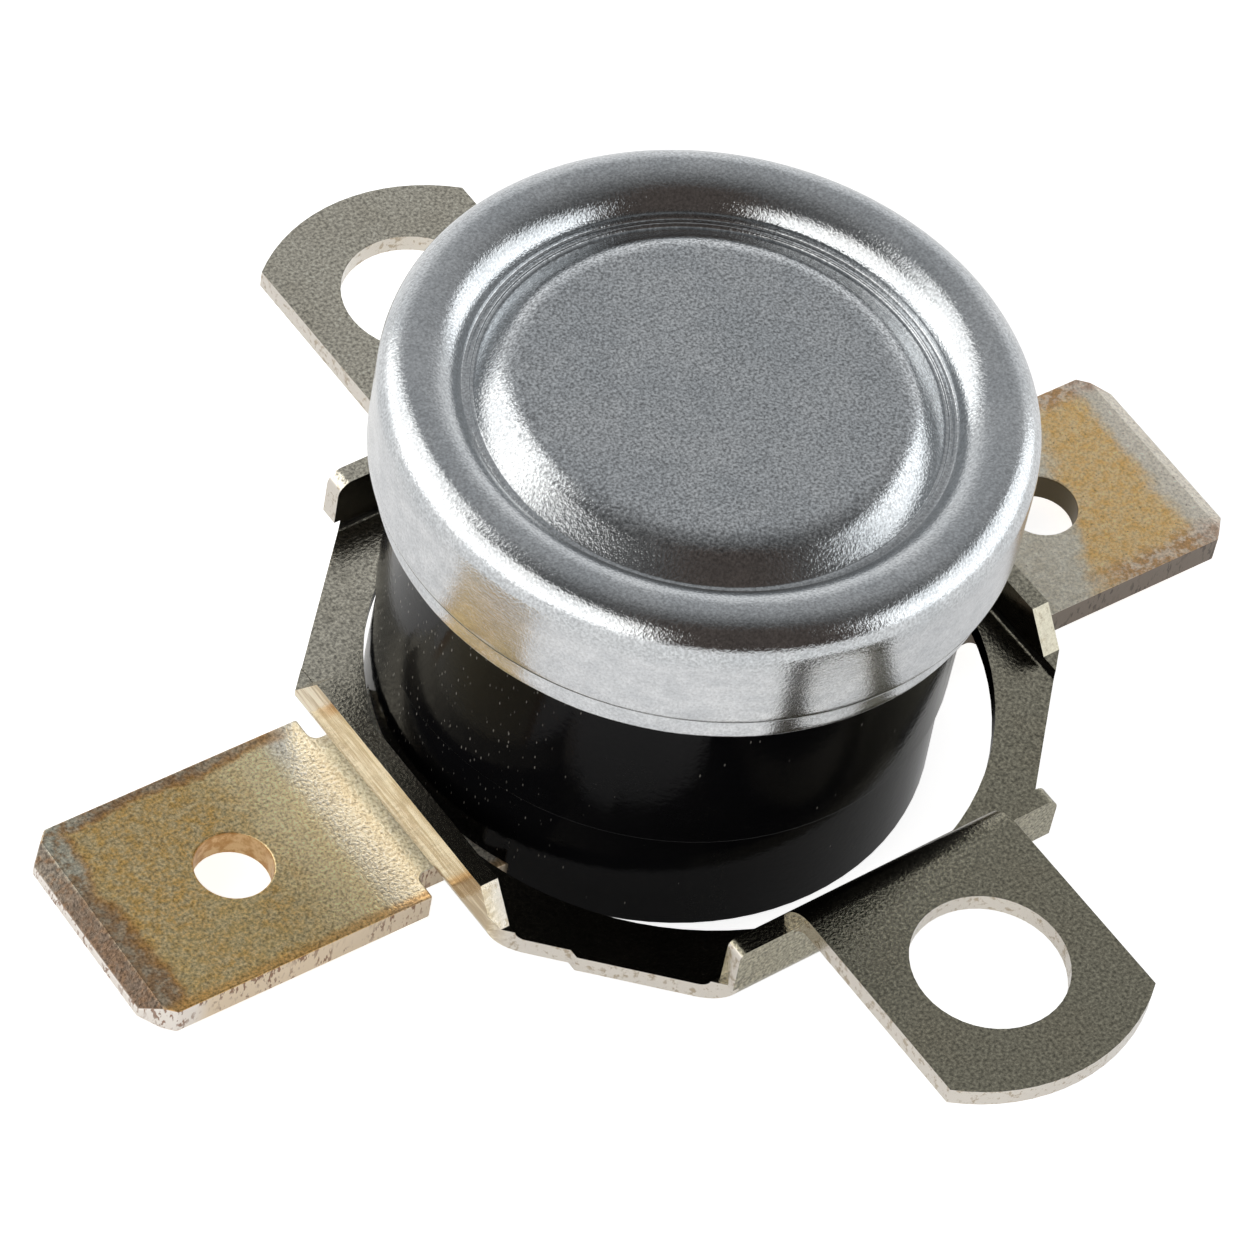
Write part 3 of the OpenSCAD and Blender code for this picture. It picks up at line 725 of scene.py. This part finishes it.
def make_world():
    """Grey room: pale along the horizon, dimmer overhead, darkest in front, where the camera stands."""
    world = bpy.data.worlds.new("room")
    bpy.context.scene.world = world
    world.use_nodes = True
    g = Graph(world.node_tree)
    way = g.node("ShaderNodeTexCoord").outputs["Generated"]
    height = g.split(way)[2]
    backward = g.step(g.dot(way, level_way(BACK_AZIMUTH)), -0.35, 0.75)
    tone = g.mix(backward, CEILING_FRONT, CEILING_BACK)
    tone = g.mix(g.step(height, 0.64, 0.2), tone, HORIZON)
    level = g.node("ShaderNodeVectorMath", {0: way, 1: (1, 1, 0)}, operation="MULTIPLY")
    level = g.node("ShaderNodeVectorMath", {0: level.outputs["Vector"]}, operation="NORMALIZE")
    forward = g.dot(level.outputs["Vector"], level_way(FRONT_AZIMUTH))
    dark = g.times(g.step(forward, 0.70, 0.90), g.step(height, 0.99, 0.9))
    tone = g.mix(dark, tone, FRONT_DARK)
    g.set(world.node_tree.nodes["Background"].inputs["Color"], tone)


# Floor: just below the part, lifted to white for the camera and about half as much in reflections
FLOOR_SIZE = 4
FLOOR_DROP = 0.01 * MM
FLOOR_GREY = rgb(0.8, 0.8, 0.8)
FLOOR_ROUGHNESS = 0.9
LIFT_IN_GLOSS = 0.4
LIFT_IN_VIEW = 0.85


def make_floor():
    """Plain pale floor that the camera sees as white."""
    bpy.ops.mesh.primitive_plane_add(size=FLOOR_SIZE, location=(0, 0, -FLOOR_DROP))
    floor = bpy.context.object
    floor.name = "floor"
    material, g, sockets, _ = new_material("floor_look", 0.0, FLOOR_ROUGHNESS)
    sockets["Base Color"].default_value = FLOOR_GREY
    sockets["Emission Color"].default_value = WHITE
    path = g.node("ShaderNodeLightPath").outputs
    in_gloss = g.larger(path["Is Glossy Ray"], path["Is Transmission Ray"])
    lift = g.larger(g.times(in_gloss, LIFT_IN_GLOSS), g.times(path["Is Camera Ray"], LIFT_IN_VIEW))
    g.set(sockets["Emission Strength"], lift)
    floor.data.materials.append(material)


make_camera()
make_world()
make_floor()
area_lamp("left_box", 177, 50, 46, 1.2, WARM_WHITE)
area_lamp("back_box", 122, 62, 20, 1.15, WARM_WHITE)
area_lamp("right_box", 327, 42, 36, 1.0, COOL_WHITE)

SILVER = (0.85, 0.85, 0.83)
RIVET_NICKEL = (0.66, 0.62, 0.52)
looks = {
    "bimetal_disc": plain_metal("disc_look", (0.6, 0.56, 0.48), 0.3),
    "guide_plate": plain_moulding("guide_look", (0.3, 0.2, 0.13), 0.5),
    "push_pin": plain_moulding("pin_look", (0.9, 0.88, 0.82), 0.4),
    "contact_arm": plain_metal("arm_look", (0.78, 0.5, 0.3), 0.35),
    "contact_strip": plain_metal("strip_look", (0.75, 0.56, 0.32), 0.35),
    "moving_contact": plain_metal("moving_contact_look", SILVER, 0.2),
    "fixed_contact": plain_metal("fixed_contact_look", SILVER, 0.2),
    "rivet_left": plain_metal("rivet_left_look", RIVET_NICKEL, 0.3),
    "rivet_right": plain_metal("rivet_right_look", RIVET_NICKEL, 0.3),
}
for node, look in looks.items():
    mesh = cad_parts[node].data
    mesh.materials.clear()
    mesh.materials.append(look)

cap = turned_cap(cap_material())
housing = softened("housing", "housing_body", HOUSING_BEVEL, housing_material())
tab_left = softened("terminal_left", "tab_left", SHEET_BEVEL, left_tab_material())
tab_right = softened("terminal_right", "tab_right", SHEET_BEVEL, right_tab_material())
bracket = softened("mounting_bracket", "bracket_sheet", SHEET_BEVEL, nickel_material())
put(cap, "switch")
put(housing, "switch")
put(tab_left, "switch")
put(tab_right, "switch")
put(bracket, "bracket")

bpy.context.scene.view_settings.view_transform = "Standard"
